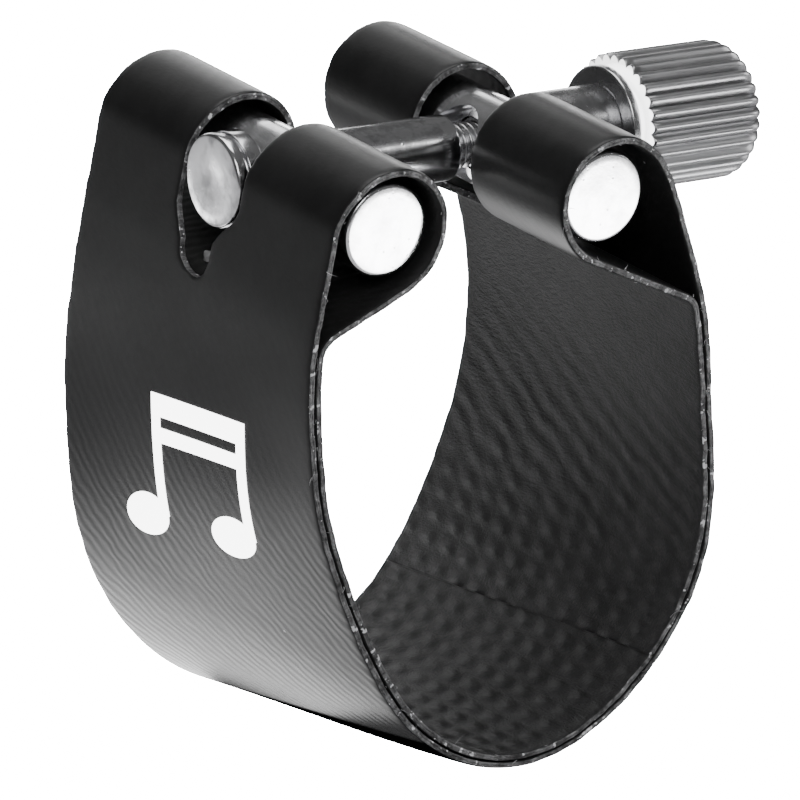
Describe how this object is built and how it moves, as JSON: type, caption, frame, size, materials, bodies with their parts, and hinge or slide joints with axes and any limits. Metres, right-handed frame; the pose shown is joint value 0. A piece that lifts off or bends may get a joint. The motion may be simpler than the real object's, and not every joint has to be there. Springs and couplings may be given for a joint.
{
  "type": "saxophone ligature",
  "caption": "Strap ligature that clamps a reed to a saxophone mouthpiece: a folded leather-cloth strap on two cross bars, drawn together by one knurled thumbscrew.",
  "frame": {"origin": "centre of the mouthpiece opening, midway along the strap", "axes": "+X from the sleeve nut towards the thumbscrew, along the screw; +Y along the mouthpiece; +Z from the opening up to the two bars"},
  "size_m": [0.0422, 0.0264, 0.0443],
  "materials": {
    "strap_face": "satin black coated leather cloth with a fine diagonal rib",
    "strap_lining": "matt black, embossed with a waffle weave",
    "bar_steel": "polished round bar with faced ends",
    "sleeve_metal": "turned and nickel-plated",
    "screw_metal": "turned steel",
    "flange_metal": "turned and nickel-plated",
    "knob_nickel": "satin nickel, straight ridges"
  },
  "bodies": {
    "strap_left": {"strap_outer_left": "strap_face", "strap_lining_left": "strap_lining"},
    "strap_right": {"strap_outer_right": "strap_face", "strap_lining_right": "strap_lining"},
    "nut_bar": {"bar_left": "bar_steel", "sleeve_nut": "sleeve_metal"},
    "screw_bar": {"bar_right": "bar_steel"},
    "thumbscrew": {"screw_shank": "screw_metal", "thrust_flange": "flange_metal", "thumb_knob": "knob_nickel"}
  },
  "joints": [
    {"name": "strap_flex", "type": "hinge", "parent": "strap_left", "child": "strap_right", "pos_m": [0.0013, 0, -0.02164], "axis": [0, -1, 0], "range_deg": [-4.4, 2.94]},
    {"name": "nut_bar_tilt", "type": "hinge", "parent": "strap_left", "child": "nut_bar", "pos_m": [-0.01085, 0, 0.0175], "axis": [0, -1, 0], "range_deg": [-1.19, 0.8]},
    {"name": "screw_bar_tilt", "type": "hinge", "parent": "strap_right", "child": "screw_bar", "pos_m": [0.00585, 0, 0.0175], "axis": [0, -1, 0], "range_deg": [-2.15, 3.22]},
    {"name": "thumbscrew_spin", "type": "hinge", "parent": "screw_bar", "child": "thumbscrew", "pos_m": [0.00585, 0, 0.0175], "axis": [-1, 0, 0], "range_deg": [-2160, 1440]}
  ],
  "couplings": [
    {"joint": "strap_flex", "follows": "thumbscrew_spin", "ratio": 0.0020334},
    {"joint": "nut_bar_tilt", "follows": "thumbscrew_spin", "ratio": 0.000549},
    {"joint": "screw_bar_tilt", "follows": "thumbscrew_spin", "ratio": -0.0014844}
  ]
}
